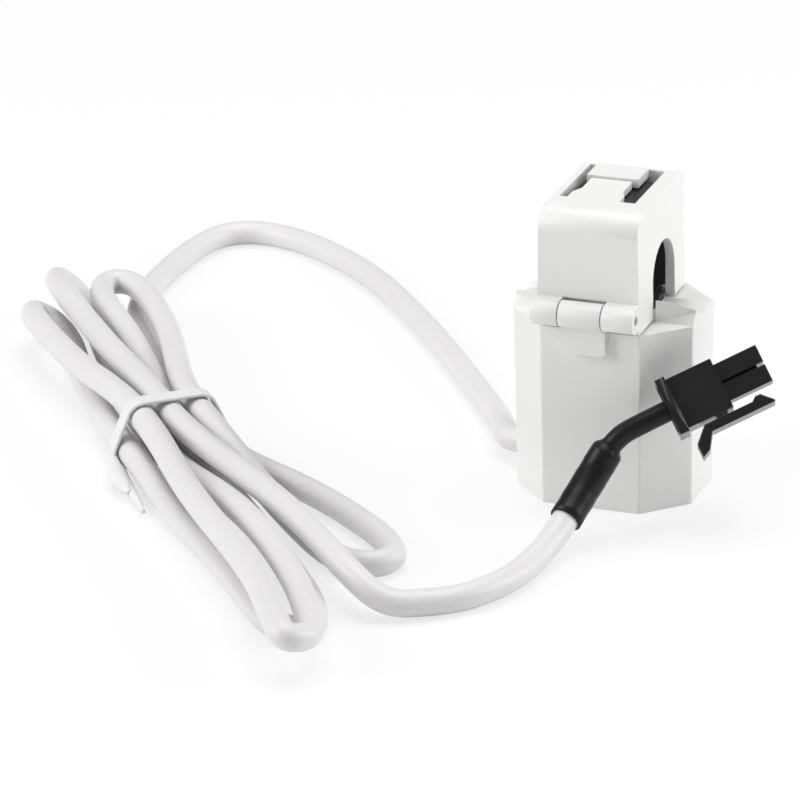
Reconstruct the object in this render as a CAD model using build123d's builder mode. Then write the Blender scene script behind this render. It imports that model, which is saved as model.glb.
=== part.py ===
"""Split-core current clamp of a home energy monitor, with its cord, hank and two-way plug.

Millimetres. The origin is the centre of the housing's base on the table, X runs along the
clamped conductor and the hinge, the hinge is at -Y, and Z is up.
"""
import os
from math import hypot, pi, radians, sqrt, tan

from build123d import *

os.makedirs("parts", exist_ok=True)

# Shared clearances
overrun = 1.0
seat_gap = 0.1
body_gap = 0.3
pin_gap = 0.04
small_edge = 0.3
upright_share = 0.9

# Housing
housing_width = 26.5
housing_depth = 22.0
corner_cut = 5.9
deck_height = 27.0
housing_draft = 0.2
housing_wall = 1.2
deck_thickness = 1.2
housing_edge = 0.5
half_width = housing_width / 2
half_depth = housing_depth / 2
side_half = half_depth - corner_cut

# Sills on both sides of the jaw
sill_width = 5.5
jaw_half_width = half_width - sill_width - body_gap

# Split core
core_wall_gap = 2.7
core_leg = 3.0
core_width_share = 0.6
core_outer = half_depth - core_wall_gap
core_inner_radius = core_outer - core_leg
core_half_width = jaw_half_width * core_width_share
core_stand = 1.0
core_joint = deck_height + core_stand
core_gap = 0.1
core_bar_height = 3.2
core_bottom = 8.5

# Conductor window inside the core, standing on the jaw's foot
jaw_seam = 0.4
core_window_gap = 0.3
window_radius = core_inner_radius - core_window_gap
window_height = deck_height + jaw_seam + window_radius

# Jaw
jaw_overhang = 0.7
jaw_set_back = 1.3
jaw_crown = 3.7
jaw_front = -half_depth - jaw_overhang
jaw_rear = half_depth - jaw_set_back
jaw_top = window_height + core_outer + jaw_crown
jaw_draft = 0.25
jaw_side_wall = 1.4
jaw_end_wall = 1.2
jaw_roof = 1.0
jaw_front_radius = 3.0
jaw_edge = 0.5
jaw_cavity_corner = 2.0

# Top tongues of the jaw
slot_left_margin = 1.25
slot_right_margin = 2.6
slot_left_width = 1.15
slot_right_width = 2.3
slot_left_outer = -jaw_half_width + slot_left_margin
slot_left_inner = slot_left_outer + slot_left_width
slot_right_outer = jaw_half_width - slot_right_margin
slot_right_inner = slot_right_outer - slot_right_width
slot_front = -5.3
tongue_left_step = 0.85
tongue_right_step = 0.75
tongue_narrow_left = slot_left_inner + tongue_left_step
tongue_narrow_right = slot_right_inner - tongue_right_step
tongue_step_front = -3.0
tongue_step_rear = -1.2
tongue_end = 3.1
tongue_slit = 0.3
rear_tongue_rise = 0.3
slot_corner = 0.4

# Hinge
hinge_reach = 2.0
hinge_rise = 3.0
hinge_y = -half_depth - hinge_reach
hinge_z = deck_height + hinge_rise
knuckle_radius = 1.9
knuckle_left_share = 0.463
knuckle_right_share = 0.356
knuckle_left = -jaw_half_width * knuckle_left_share
knuckle_right = jaw_half_width * knuckle_right_share
knuckle_side_gap = 0.2
hinge_pin_radius = 0.7
hinge_pin_recess = 0.25
jaw_knuckle_relief = 0.45
knuckle_slot_rise = 0.9
bracket_thickness = 1.4
bracket_drop = 3.2
bracket_foot = deck_height - bracket_drop
bracket_corner = 0.8
bracket_front_share = 0.72
bracket_rear_share = 0.74
bracket_low_share = 0.37

# Sills beside the jaw
sill_height = 3.2
sill_set_back = 0.1
sill_past_corner = 0.3
sill_notch = 1.4
sill_front = -side_half + sill_set_back
sill_rear = side_half + sill_past_corner
sill_outer_front = -side_half + sill_notch
trough_gap = 0.1
gusset_height = 1.6

# Bobbin and winding
bobbin_wall = 0.7
bobbin_flange = 0.8
winding_layer_gap = 0.1
winding_board_gap = 1.8

# Core carrier and retainer
carrier_side_gap = 0.8
carrier_end_gap = 1.5
carrier_half_width = jaw_half_width - carrier_end_gap
carrier_half_depth = core_inner_radius - carrier_side_gap
retainer_side_gap = 1.6
retainer_front_gap = 0.3
retainer_rise = 1.6
retainer_half_width = jaw_half_width - retainer_side_gap
retainer_front = -core_outer - retainer_front_gap
retainer_foot = deck_height + retainer_rise
retainer_top_gap = 0.3
retainer_corner = 1.6

# Base cover
cover_thickness = 1.4
post_half_width = 3.0
post_depth = 2.2
rail_thickness = 0.8
rail_height = 1.6

# Circuit board
board_set_in = 3.65
board_end_gap = 0.9
board_x = half_width - board_set_in
board_thickness = 1.2
board_rear = side_half - board_end_gap
board_front = -board_rear
board_height = 17.0
diode_length = 3.2
diode_width = 2.0
diode_height = 1.2
diode_z = 14.8
diode_place_share = 0.5
board_rise = 4.5
lead_radius = 0.35

# Latch at the rear of the jaw
latch_half_width = 3.5
latch_thickness = 1.0
latch_gap = 0.25
latch_pivot_rise = 9.1
latch_drop = 6.0
latch_nose_rise = 0.8
latch_pivot_z = deck_height + latch_pivot_rise
latch_foot = deck_height - latch_drop
latch_nose_foot = latch_foot + latch_nose_rise
latch_nose_reach = 1.0
latch_nose_height = 2.4
latch_lip = 1.0
latch_lip_height = 1.2
latch_boss_height = 1.4
latch_boss_half_width = 3.9
latch_root_gap = 0.15

# Cord and its outlet
cord_radius = 1.9
outlet_set_in = 3.1
outlet_y = side_half - outlet_set_in
outlet_z = 3.4
grommet_neck = 2.4
grommet_collar = 3.0
grommet_reach = 1.3
grommet_gap = 0.02
grommet_bore_gap = 0.03
cord_inside = 0.9
conductor_radius = 0.55
conductor_pitch = 1.3

# Sleeve over the end of the cord
sleeve_thick_radius = 2.3
sleeve_thin_radius = 1.5
sleeve_overlap = 3.0
sleeve_gap = 0.03
sleeve_step = 1.0
sleeve_set_back = 3.0
sleeve_run_in = 4.0
waist_share = 0.5

# Plug
plug_pitch = 3.0
plug_wire_radius = 0.6
flange_thickness = 1.4
flange_height = 8.4
flange_depth = 5.6
flange_recess = 0.9
flange_rim = 0.7
block_end = 8.3
block_height = 7.5
block_depth = 4.6
silo_end = 14.8
silo_height = 2.55
silo_depth = 3.1
silo_recess = 0.35
silo_web_depth = 1.3
silo_web_end = 1.0
cavity_side = 1.5
cavity_depth = 6.2
terminal_side = 1.1
terminal_wall = 0.2
terminal_length = 5.4
wire_hole_gap = 0.15
plug_latch_depth = 4.2
plug_latch_gap = 0.15
plug_latch_neck_start = 5.6
plug_latch_neck_end = 7.3
plug_latch_neck_drop = 0.35
plug_latch_arm_drop = 0.5
plug_latch_arm = 1.3
plug_latch_tip = 13.9
plug_latch_hook = 0.55
plug_latch_hook_length = 1.5
plug_latch_pad_root = 4.2
plug_latch_pad_end = 1.5
plug_latch_pad_drop = 4.1

# Tie round the hank
tie_half_width = 1.4
tie_thickness = 0.5
tie_gap = 0.25

# Places worked out from the sizes above
jaw_foot = deck_height + jaw_seam
roof_underside = jaw_top - jaw_roof
cavity_half_width = jaw_half_width - jaw_side_wall
cavity_front = jaw_front + jaw_end_wall
cavity_rear = jaw_rear - jaw_end_wall
core_seat = core_joint - core_gap / 2
core_rest = core_joint + core_gap / 2
core_bar_top = core_bottom + core_bar_height
retainer_rear = cavity_rear - seat_gap
sill_inner = jaw_half_width + body_gap
sill_top = deck_height + sill_height
board_inner = board_x + board_thickness
board_foot = cover_thickness + seat_gap


def octagon(half_x, half_y, cut):
    """Corners of a box with its four corners cut at 45 degrees."""
    x, y = half_x - cut, half_y - cut
    return [(half_x, -y), (half_x, y), (x, half_y), (-x, half_y),
            (-half_x, y), (-half_x, -y), (-x, -half_y), (x, -half_y)]


def box_between(low, high):
    """Centre and size of the upright box between two corners."""
    centre = [(a + b) / 2 for a, b in zip(low, high)]
    size = [b - a for a, b in zip(low, high)]
    return centre, size


def add_box(low, high, mode=Mode.ADD):
    """Add or cut an upright box between two corners."""
    centre, size = box_between(low, high)
    with Locations(tuple(centre)):
        Box(*size, mode=mode)


def add_bar(x_low, x_high, y, z, radius, mode=Mode.ADD):
    """Add or cut a round bar along X."""
    with Locations(Location(((x_low + x_high) / 2, y, z), (0, 90, 0))):
        Cylinder(radius, x_high - x_low, mode=mode)


def along_x(x_low, x_high, points, mode=Mode.ADD):
    """Extrude an outline of (y, z) points from one X to another."""
    outline = Face(Wire.make_polygon([(x_low, y, z) for y, z in points]))
    extrude(outline, amount=x_high - x_low, dir=(1, 0, 0), mode=mode)


# Housing shell: drafted octagon with a deck, sills, hinge bracket and latch window
inner_half_x = half_width - housing_draft - housing_wall
inner_half_y = half_depth - housing_draft - housing_wall
inner_cut = corner_cut - housing_wall * (2 - sqrt(2))
with BuildPart() as housing_shell:
    with BuildSketch(Plane.XY):
        Polygon(*octagon(half_width - housing_draft, half_depth - housing_draft, corner_cut),
                align=None)
    with BuildSketch(Plane.XY.offset(deck_height)):
        Polygon(*octagon(half_width, half_depth, corner_cut), align=None)
    loft(ruled=True)
    upright = housing_shell.edges().filter_by(lambda e: abs(e.tangent_at(0).Z) > upright_share)
    fillet(upright, housing_edge)
    with BuildSketch(Plane.XY):
        Polygon(*octagon(inner_half_x, inner_half_y, inner_cut), align=None)
    extrude(amount=deck_height - deck_thickness, mode=Mode.SUBTRACT)
    for side in (-1, 1):
        edges_x = sorted((side * sill_inner, side * half_width))
        along_x(*edges_x, [(sill_front, deck_height - deck_thickness),
                           (sill_rear, deck_height - deck_thickness),
                           (sill_rear, deck_height), (sill_front, sill_top)])
    with BuildSketch(Plane.XY.offset(deck_height)):
        for side in (-1, 1):
            Polygon((side * sill_inner, sill_front), (side * half_width, sill_front),
                    (side * half_width, sill_outer_front), align=None)
    extrude(amount=sill_height, mode=Mode.SUBTRACT)
    for side in (-1, 1):
        foot = Face(Wire.make_polygon([(side * sill_inner, sill_front, deck_height),
                                       (side * half_width, -half_depth + corner_cut, deck_height),
                                       (side * half_width, sill_outer_front, deck_height)]))
        loft([foot, Vertex(side * half_width, sill_outer_front, deck_height + gusset_height)])
    add_bar(-half_width - overrun, half_width + overrun, 0, window_height,
            window_radius + trough_gap, mode=Mode.SUBTRACT)
    bracket_face = -half_depth - bracket_thickness
    along_x(knuckle_left, knuckle_right,
            [(-half_depth + housing_wall / 2, bracket_foot), (bracket_face, bracket_foot),
             (bracket_face, deck_height + small_edge),
             (hinge_y - knuckle_radius / 2, hinge_z - knuckle_radius * bracket_front_share),
             (hinge_y, hinge_z),
             (hinge_y + knuckle_radius * bracket_rear_share, hinge_z - knuckle_radius * bracket_low_share),
             (-half_depth + housing_wall / 2, deck_height)])
    add_bar(knuckle_left, knuckle_right, hinge_y, hinge_z, knuckle_radius)
    foot_edges = housing_shell.edges().filter_by(Axis.Y).filter_by_position(
        Axis.Z, bracket_foot - seat_gap, bracket_foot + seat_gap)
    fillet(foot_edges.filter_by_position(Axis.Y, bracket_face - seat_gap, -half_depth + seat_gap),
           bracket_corner)
    add_bar(knuckle_left - overrun, knuckle_right + overrun, hinge_y, hinge_z,
            hinge_pin_radius + pin_gap, mode=Mode.SUBTRACT)
    deck_low = deck_height - deck_thickness - overrun
    add_box((-carrier_half_width - seat_gap, -carrier_half_depth - seat_gap, deck_low),
            (carrier_half_width + seat_gap, carrier_half_depth + seat_gap, deck_height + overrun),
            mode=Mode.SUBTRACT)
    add_box((-core_half_width - seat_gap, -core_outer - seat_gap, deck_low),
            (core_half_width + seat_gap, core_outer + seat_gap, deck_height + overrun), mode=Mode.SUBTRACT)
    add_box((-latch_half_width - body_gap, inner_half_y - seat_gap, latch_nose_foot - body_gap),
            (latch_half_width + body_gap, half_depth + overrun,
             latch_nose_foot + latch_nose_height + body_gap),
            mode=Mode.SUBTRACT)
    add_bar(-half_width - overrun, -inner_half_x + overrun, outlet_y, outlet_z,
            grommet_neck + grommet_gap, mode=Mode.SUBTRACT)
housing_shell.part.label = "housing_shell"

# Base cover, inset in the housing, with posts under the core and rails for the board
with BuildPart() as base_cover:
    with BuildSketch(Plane.XY):
        Polygon(*octagon(inner_half_x - seat_gap, inner_half_y - seat_gap, inner_cut), align=None)
    extrude(amount=cover_thickness)
    for side in (-1, 1):
        near = core_inner_radius + seat_gap
        ends = sorted((side * near, side * (near + post_depth)))
        add_box((-post_half_width, ends[0], 0), (post_half_width, ends[1], core_bottom - seat_gap))
    for face in (board_x - seat_gap - rail_thickness, board_inner + seat_gap):
        add_box((face, board_front, 0),
                (face + rail_thickness, board_front + board_rise, cover_thickness + rail_height))
base_cover.part.label = "base_cover"

# Lower half of the split core: a U, legs up
with BuildPart() as lower_core:
    with BuildSketch(Plane.YZ.offset(-core_half_width)):
        Polygon((-core_outer, core_bottom), (core_outer, core_bottom), (core_outer, core_seat),
                (core_inner_radius, core_seat), (core_inner_radius, core_bar_top),
                (-core_inner_radius, core_bar_top),
                (-core_inner_radius, core_seat), (-core_outer, core_seat), align=None)
    extrude(amount=core_half_width * 2)
lower_core.part.label = "lower_core"

# Upper half of the split core: a horseshoe in the jaw
with BuildPart() as upper_core:
    with BuildSketch(Plane.YZ.offset(-core_half_width)):
        with Locations((0, window_height)):
            Circle(core_outer)
        with Locations((0, (core_rest + window_height) / 2)):
            Rectangle(core_outer * 2, window_height - core_rest)
        with Locations((0, core_rest - core_outer)):
            Rectangle(core_outer * 2 + overrun, core_outer * 2, mode=Mode.SUBTRACT)
        with Locations((0, window_height)):
            Circle(core_inner_radius, mode=Mode.SUBTRACT)
        with Locations((0, window_height - core_outer / 2)):
            Rectangle(core_inner_radius * 2, core_outer, mode=Mode.SUBTRACT)
    extrude(amount=core_half_width * 2)
upper_core.part.label = "upper_core"

# Bobbin on the bar of the lower core, and its winding
bobbin_half_length = core_inner_radius - seat_gap
bobbin_hole_x = core_half_width + seat_gap
winding_x = bobbin_hole_x + bobbin_wall + seat_gap
winding_outer = board_x - winding_board_gap
winding_depth = winding_outer - winding_x + seat_gap * 2
bobbin_half_width = winding_x + winding_depth
bobbin_hole_low = core_bottom - seat_gap
bobbin_hole_high = core_bar_top + seat_gap
flange_low = bobbin_hole_low - bobbin_wall - winding_depth - winding_layer_gap
flange_high = bobbin_hole_high + bobbin_wall + winding_depth + winding_layer_gap
with BuildPart() as bobbin:
    add_box((-bobbin_hole_x - bobbin_wall, -bobbin_half_length, bobbin_hole_low - bobbin_wall),
            (bobbin_hole_x + bobbin_wall, bobbin_half_length, bobbin_hole_high + bobbin_wall))
    for side in (-1, 1):
        ends = sorted((side * bobbin_half_length, side * (bobbin_half_length - bobbin_flange)))
        add_box((-bobbin_half_width, ends[0], flange_low), (bobbin_half_width, ends[1], flange_high))
    add_box((-bobbin_hole_x, -bobbin_half_length - overrun, bobbin_hole_low),
            (bobbin_hole_x, bobbin_half_length + overrun, bobbin_hole_high), mode=Mode.SUBTRACT)
bobbin.part.label = "bobbin"

winding_half_length = bobbin_half_length - bobbin_flange - seat_gap
with BuildPart() as secondary_winding:
    add_box((-winding_outer, -winding_half_length, flange_low + seat_gap * 2),
            (winding_outer, winding_half_length, flange_high - seat_gap * 2))
    fillet(secondary_winding.edges().filter_by(Axis.Y), winding_depth / 2)
    add_box((-winding_x, -winding_half_length - overrun, bobbin_hole_low - bobbin_wall - seat_gap),
            (winding_x, winding_half_length + overrun, bobbin_hole_high + bobbin_wall + seat_gap),
            mode=Mode.SUBTRACT)
secondary_winding.part.label = "secondary_winding"

# Carrier: the black floor of the window, standing on the bobbin
carrier_foot = flange_high + seat_gap
with BuildPart() as core_carrier:
    add_box((-carrier_half_width, -carrier_half_depth, carrier_foot),
            (carrier_half_width, carrier_half_depth, core_joint))
    add_bar(-jaw_half_width, jaw_half_width, 0, window_height, window_radius + trough_gap, mode=Mode.SUBTRACT)
core_carrier.part.label = "core_carrier"

# Retainer: the black cap that holds the upper core in the jaw
retainer_top = roof_underside - retainer_top_gap
with BuildPart() as core_retainer:
    add_box((-retainer_half_width, retainer_front, retainer_foot),
            (retainer_half_width, retainer_rear, retainer_top))
    fillet(core_retainer.edges().filter_by(Axis.X).group_by(Axis.Z)[-1], retainer_corner)
    add_bar(-retainer_half_width - overrun, retainer_half_width + overrun, 0, window_height,
            core_inner_radius, mode=Mode.SUBTRACT)
    add_box((-retainer_half_width - overrun, -core_inner_radius, retainer_foot - overrun),
            (retainer_half_width + overrun, core_inner_radius, window_height), mode=Mode.SUBTRACT)
    add_bar(-core_half_width - seat_gap, core_half_width + seat_gap, 0, window_height,
            core_outer + seat_gap, mode=Mode.SUBTRACT)
    add_box((-core_half_width - seat_gap, -core_outer - seat_gap, retainer_foot - overrun),
            (core_half_width + seat_gap, core_outer + seat_gap, window_height), mode=Mode.SUBTRACT)
core_retainer.part.label = "core_retainer"

# Jaw shell: drafted box with an arch through both sides, knuckles, tongues and the latch boss
knuckle_slot_left = knuckle_left - knuckle_side_gap
knuckle_slot_right = knuckle_right + knuckle_side_gap
latch_front = half_depth + latch_gap
latch_back = latch_front + latch_thickness
latch_pivot_y = (latch_front + latch_back) / 2
latch_root = latch_pivot_z + latch_root_gap
with BuildPart() as jaw_shell:
    with BuildSketch(Plane.XY.offset(jaw_foot)):
        with Locations((0, (jaw_front + jaw_rear) / 2)):
            Rectangle(jaw_half_width * 2, jaw_rear - jaw_front)
    with BuildSketch(Plane.XY.offset(jaw_top)):
        with Locations((0, (jaw_front + jaw_rear) / 2)):
            Rectangle((jaw_half_width - jaw_draft) * 2, jaw_rear - jaw_front - jaw_draft)
    loft(ruled=True)
    fillet(jaw_shell.edges().filter_by(Axis.X).group_by(Axis.Z)[-1].sort_by(Axis.Y)[0], jaw_front_radius)
    rim = jaw_shell.faces().sort_by(Axis.Z)[-1].edges().filter_by(Axis.X).sort_by(Axis.Y)[-1]
    fillet(rim, jaw_edge)
    with BuildSketch(Plane.YZ.offset(-cavity_half_width)) as cavity:
        Polygon((cavity_front, jaw_foot - overrun), (cavity_rear, jaw_foot - overrun),
                (cavity_rear, roof_underside),
                (cavity_front, roof_underside), align=None)
        fillet(cavity.vertices().group_by(Axis.Y)[-1].sort_by(Axis.X)[0], jaw_cavity_corner)
    extrude(amount=cavity_half_width * 2, mode=Mode.SUBTRACT)
    add_bar(-jaw_half_width - overrun, jaw_half_width + overrun, 0, window_height, window_radius,
            mode=Mode.SUBTRACT)
    add_box((-jaw_half_width - overrun, -window_radius, jaw_foot - overrun),
            (jaw_half_width + overrun, window_radius, window_height), mode=Mode.SUBTRACT)
    for low, high in ((-jaw_half_width, knuckle_slot_left), (knuckle_slot_right, jaw_half_width)):
        add_bar(low, high, hinge_y, hinge_z, knuckle_radius)
        add_box((low, hinge_y, hinge_z - knuckle_radius), (high, cavity_front, hinge_z + knuckle_radius))
    add_bar(knuckle_slot_left, knuckle_slot_right, hinge_y, hinge_z, knuckle_radius + jaw_knuckle_relief,
            mode=Mode.SUBTRACT)
    add_box((knuckle_slot_left, hinge_y, jaw_foot - overrun),
            (knuckle_slot_right, cavity_front + seat_gap, hinge_z + knuckle_slot_rise), mode=Mode.SUBTRACT)
    add_bar(-jaw_half_width - overrun, jaw_half_width + overrun, hinge_y, hinge_z,
            hinge_pin_radius + pin_gap, mode=Mode.SUBTRACT)
    add_box((-latch_boss_half_width, cavity_rear + seat_gap, latch_root),
            (latch_boss_half_width, latch_back, latch_root + latch_boss_height))
    with BuildSketch(Plane.XY.offset(roof_underside - overrun)):
        with BuildSketch(mode=Mode.PRIVATE) as front_tongue:
            Polygon((slot_left_inner, slot_front - overrun), (slot_right_inner, slot_front - overrun),
                    (slot_right_inner, tongue_step_front), (tongue_narrow_right, tongue_step_rear),
                    (tongue_narrow_right, tongue_end), (tongue_narrow_left, tongue_end),
                    (tongue_narrow_left, tongue_step_rear), (slot_left_inner, tongue_step_front),
                    align=None)
            steps = front_tongue.vertices().filter_by_position(
                Axis.Y, tongue_step_front - small_edge, tongue_end + small_edge)
            fillet(steps, slot_corner)
        Polygon((slot_left_outer, slot_front), (slot_right_outer, slot_front),
                (slot_right_outer, cavity_rear), (slot_left_outer, cavity_rear), align=None)
        add(front_tongue.sketch, mode=Mode.SUBTRACT)
        Polygon((slot_left_inner, tongue_end + tongue_slit), (slot_right_inner, tongue_end + tongue_slit),
                (slot_right_inner, jaw_rear), (slot_left_inner, jaw_rear), align=None, mode=Mode.SUBTRACT)
    extrude(amount=jaw_roof + overrun * 2, mode=Mode.SUBTRACT)
    add_box((slot_left_inner, tongue_end + tongue_slit, jaw_top - small_edge),
            (slot_right_inner, cavity_rear, jaw_top + rear_tongue_rise))
jaw_shell.part.label = "jaw_shell"

# Hinge pin
with BuildPart() as hinge_pin:
    add_bar(-jaw_half_width + hinge_pin_recess, jaw_half_width - hinge_pin_recess, hinge_y, hinge_z,
            hinge_pin_radius)
hinge_pin.part.label = "hinge_pin"

# Latch tongue at the rear, with a nose in the housing's window and a finger lip
nose_y = latch_front - latch_nose_reach
with BuildPart() as latch_tongue:
    along_x(-latch_half_width, latch_half_width,
            [(latch_front, latch_pivot_z), (latch_back, latch_pivot_z),
             (latch_back, latch_foot + latch_lip_height),
             (latch_back + latch_lip, latch_foot + latch_lip_height / 2),
             (latch_back + latch_lip, latch_foot),
             (latch_front, latch_foot), (latch_front, latch_nose_foot), (nose_y, latch_nose_foot),
             (latch_front - latch_gap, latch_nose_foot + latch_nose_height),
             (latch_front, latch_nose_foot + latch_nose_height)])
latch_tongue.part.label = "latch_tongue"

# Circuit board standing on the cover, its two clamp diodes and the leads of the winding
with BuildPart() as circuit_board:
    add_box((board_x, board_front, board_foot), (board_inner, board_rear, board_foot + board_height))
circuit_board.part.label = "circuit_board"

for number, side in enumerate((-1, 1), 1):
    place_y = side * board_rear * diode_place_share
    with BuildPart() as clamp_diode:
        with Locations((board_x - diode_height / 2, place_y, diode_z - diode_length / 2)):
            Box(diode_height, diode_width, diode_length)
    clamp_diode.part.label = f"clamp_diode_{number}"
    export_step(clamp_diode.part, f"parts/clamp_diode_{number}.step")
    with BuildPart() as winding_lead:
        add_bar(winding_outer, board_x, place_y, (core_bottom + core_bar_top) / 2, lead_radius)
    winding_lead.part.label = f"winding_lead_{number}"
    export_step(winding_lead.part, f"parts/winding_lead_{number}.step")

# Grommet of the cord in the left wall
cord_start = -inner_half_x + cord_inside
outlet_lean = housing_draft * (outlet_z + grommet_collar) / deck_height
grommet_face = -half_width + housing_draft - outlet_lean - grommet_gap
with BuildPart() as cord_grommet:
    add_bar(grommet_face - grommet_reach, grommet_face, outlet_y, outlet_z, grommet_collar)
    add_bar(grommet_face - grommet_reach / 2, -inner_half_x, outlet_y, outlet_z, grommet_neck)
    add_bar(grommet_face - grommet_reach - overrun, -inner_half_x + overrun, outlet_y, outlet_z,
            cord_radius + grommet_bore_gap, mode=Mode.SUBTRACT)
cord_grommet.part.label = "cord_grommet"

# Two conductors from the end of the cord to the board
for number, side in enumerate((-1, 1), 1):
    with BuildPart() as conductor:
        add_bar(cord_start, board_x, outlet_y + side * conductor_pitch / 2, outlet_z, conductor_radius)
    conductor.part.label = f"conductor_{number}"
    export_step(conductor.part, f"parts/conductor_{number}.step")

# Plug place: rear centre, direction to the mating end, and direction of its broad front face
plug_place = (12.2, -13.4, 17.4)
plug_direction_share = (0.796, 0.469, 0.383)
plug_front_share = (0.239, -0.824, 0.513)
plug_plane = Plane(origin=plug_place, x_dir=plug_direction_share, z_dir=plug_front_share)

# Cord: layers on the table, and points of the route
layer_low = 1.95
layer_high = 6.8
waist_lift = 1.4
waist_half_length = 8.0
lane_step = 4.3
lane_middle = 1.5
hank_x = -64.0
hank_y = -15.0
hank_direction_share = (0.64, -0.77, 0)
hank_axis = Vector(*hank_direction_share).normalized()
hank_across = Vector(-hank_axis.Y, hank_axis.X, 0)
arc_share = 0.45
lead_end_share = 0.4
hank_end_share = 0.6
gap_step = 0.8
gap_skip = 14.0

lead_route = [(cord_start, outlet_y, outlet_z), (-16.3, outlet_y, outlet_z), (-18.5, 5.4, 3.0),
              (-20.6, 10.6, 2.1),
              (-26.4, 19.2, 1.95), (-34.6, 30.6, 1.95), (-43.2, 42.2, 1.95), (-52.0, 52.9, 1.95),
              (-59.1, 60.7, 1.95),
              (-65.5, 66.2, 1.95), (-72.0, 70.8, 1.95), (-78.6, 74.2, 1.95), (-86.2, 75.4, 1.95),
              (-91.6, 70.5, 1.95)]

# Each strand of the hank from its upper end to its lower end: points before the waist, its lane
# and layer at the waist, and points after it, as (along, across, layer height)
hank_strands = [
    ([(-69.8, 21.0, layer_low), (-57.0, 12.8, layer_low), (-36.0, 9.9, layer_low)], 1.5, layer_low,
     [(24.0, 17.0, layer_low), (48.5, 21.2, layer_low)]),
    ([(-57.5, 13.8, layer_high), (-33.0, 11.9, layer_high)], 1.0, layer_high,
     [(28.0, 9.6, layer_low), (48.5, 11.4, layer_low)]),
    ([(-57.5, 6.2, layer_high), (-31.0, 5.9, layer_high)], 0.5, layer_low,
     [(34.0, 4.6, layer_low), (62.5, 3.8, layer_low)]),
    ([(-53.0, 1.0, layer_low), (-31.0, -2.8, layer_low)], -1.5, layer_low,
     [(27.0, -6.0, layer_low), (62.5, -5.4, layer_low)]),
    ([(-54.0, -5.9, layer_high), (-28.0, -5.2, layer_high)], -1.0, layer_high,
     [(26.0, -4.5, layer_high), (56.0, -5.2, layer_high), (76.0, -8.5, layer_high)]),
    ([(-65.0, 7.4, layer_low), (-37.0, 3.0, layer_low)], -0.5, layer_low,
     [(34.0, 0.9, layer_high), (58.0, 1.2, layer_high), (76.0, 0.2, layer_high)]),
    ([(-65.0, 1.2, 7.6), (-34.0, 0.9, 7.4)], 0.0, layer_high,
     [(30.0, 5.3, layer_high)]),
]
tail_strand = [(52.0, 6.8, layer_high), (60.0, 9.6, 5.0), (64.0, 18.0, 2.0)]
tail_route = [(-4.8, -48.6, 1.95), (-1.3, -41.4, 1.95), (-0.2, -34.0, 2.1), (0.5, -28.0, 3.0)]
sleeve_route = [(2.8, -19.0, 8.4), (5.6, -17.0, 13.9)]


def hank_point(along, across, height):
    """A point of the hank in the part's frame."""
    place = Vector(hank_x, hank_y) + hank_axis * along + hank_across * across
    return Vector(place.X, place.Y, height)


def between(first, last, share):
    """A point on the line between two points."""
    return first + (last - first) * share


def corner_radii(points):
    """The largest radius at each inner point that its two runs allow."""
    radii = []
    for first, corner, last in zip(points, points[1:], points[2:]):
        turn = radians((corner - first).get_angle(last - corner))
        run = min((corner - first).length, (last - corner).length)
        radii.append(arc_share * run / tan(turn / 2))
    return radii


def tube(points, radius):
    """A round tube along straight runs joined by tangent arcs, and its path."""
    with BuildPart() as made:
        with BuildLine() as path:
            FilletPolyline(*points, radius=corner_radii(points))
        with BuildSketch(Plane(origin=path.line @ 0, z_dir=path.line % 0)):
            Circle(radius)
        sweep()
    return made.part, path.wire()


def least_gap(path, radius, step, skip):
    """Least gap of a tube to itself, between points at least skip apart along it."""
    count = int(path.length / step)
    places = [tuple(path.position_at(k / count)) for k in range(count + 1)]
    along = [0.0]
    for p, q in zip(places, places[1:]):
        along.append(along[-1] + sqrt(sum((a - b) ** 2 for a, b in zip(p, q))))
    best = path.length
    for i, p in enumerate(places):
        for j in range(i + 1, len(places)):
            if along[j] - along[i] > skip:
                q = places[j]
                best = min(best, hypot(p[0] - q[0], p[1] - q[1], p[2] - q[2]))
    return best - radius * 2


hank_points = []
for number, (before, lane, layer, after) in enumerate(hank_strands):
    waist = [(side * waist_half_length, lane_middle + lane * lane_step, layer + waist_lift)
             for side in (-1, 1)]
    strand = before + waist + after
    hank_points += strand if number % 2 == 0 else strand[::-1]
hank_points = [hank_point(*p) for p in hank_points]
lead_points = [Vector(*p) for p in lead_route]
lead_end = between(lead_points[-1], hank_points[0], lead_end_share)
lead_points.append(lead_end)
tail_points = [hank_point(*p) for p in tail_strand] + [Vector(*p) for p in tail_route]
hank_end = between(hank_points[-1], tail_points[0], hank_end_share)
tail_points.insert(0, hank_end)
sleeve_points = [Vector(*p) for p in sleeve_route]
sleeve_line = (sleeve_points[0] - tail_points[-1]).normalized()
sleeve_mouth = tail_points[-1] + sleeve_line * sleeve_set_back
tail_points.append(sleeve_mouth + sleeve_line * sleeve_overlap)
cords = {"cord_lead": lead_points, "cord_hank": [lead_end] + hank_points + [hank_end],
         "cord_tail": tail_points}
cord_length = 0
for name, points in cords.items():
    solid, path = tube(points, cord_radius)
    solid.label = name
    export_step(solid, f"parts/{name}.step")
    cord_length += path.length
    print(name, "radii", [round(r, 1) for r in corner_radii(points)])
    print(name, "length", round(path.length, 1), "volume", round(solid.volume, 1), "section x length",
          round(pi * cord_radius ** 2 * path.length, 1), "valid", solid.is_valid)
    if name == "cord_hank":
        print("hank's least gap to itself", round(least_gap(path, cord_radius, gap_step, gap_skip), 2))
print("cord length", round(cord_length, 1))

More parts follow.
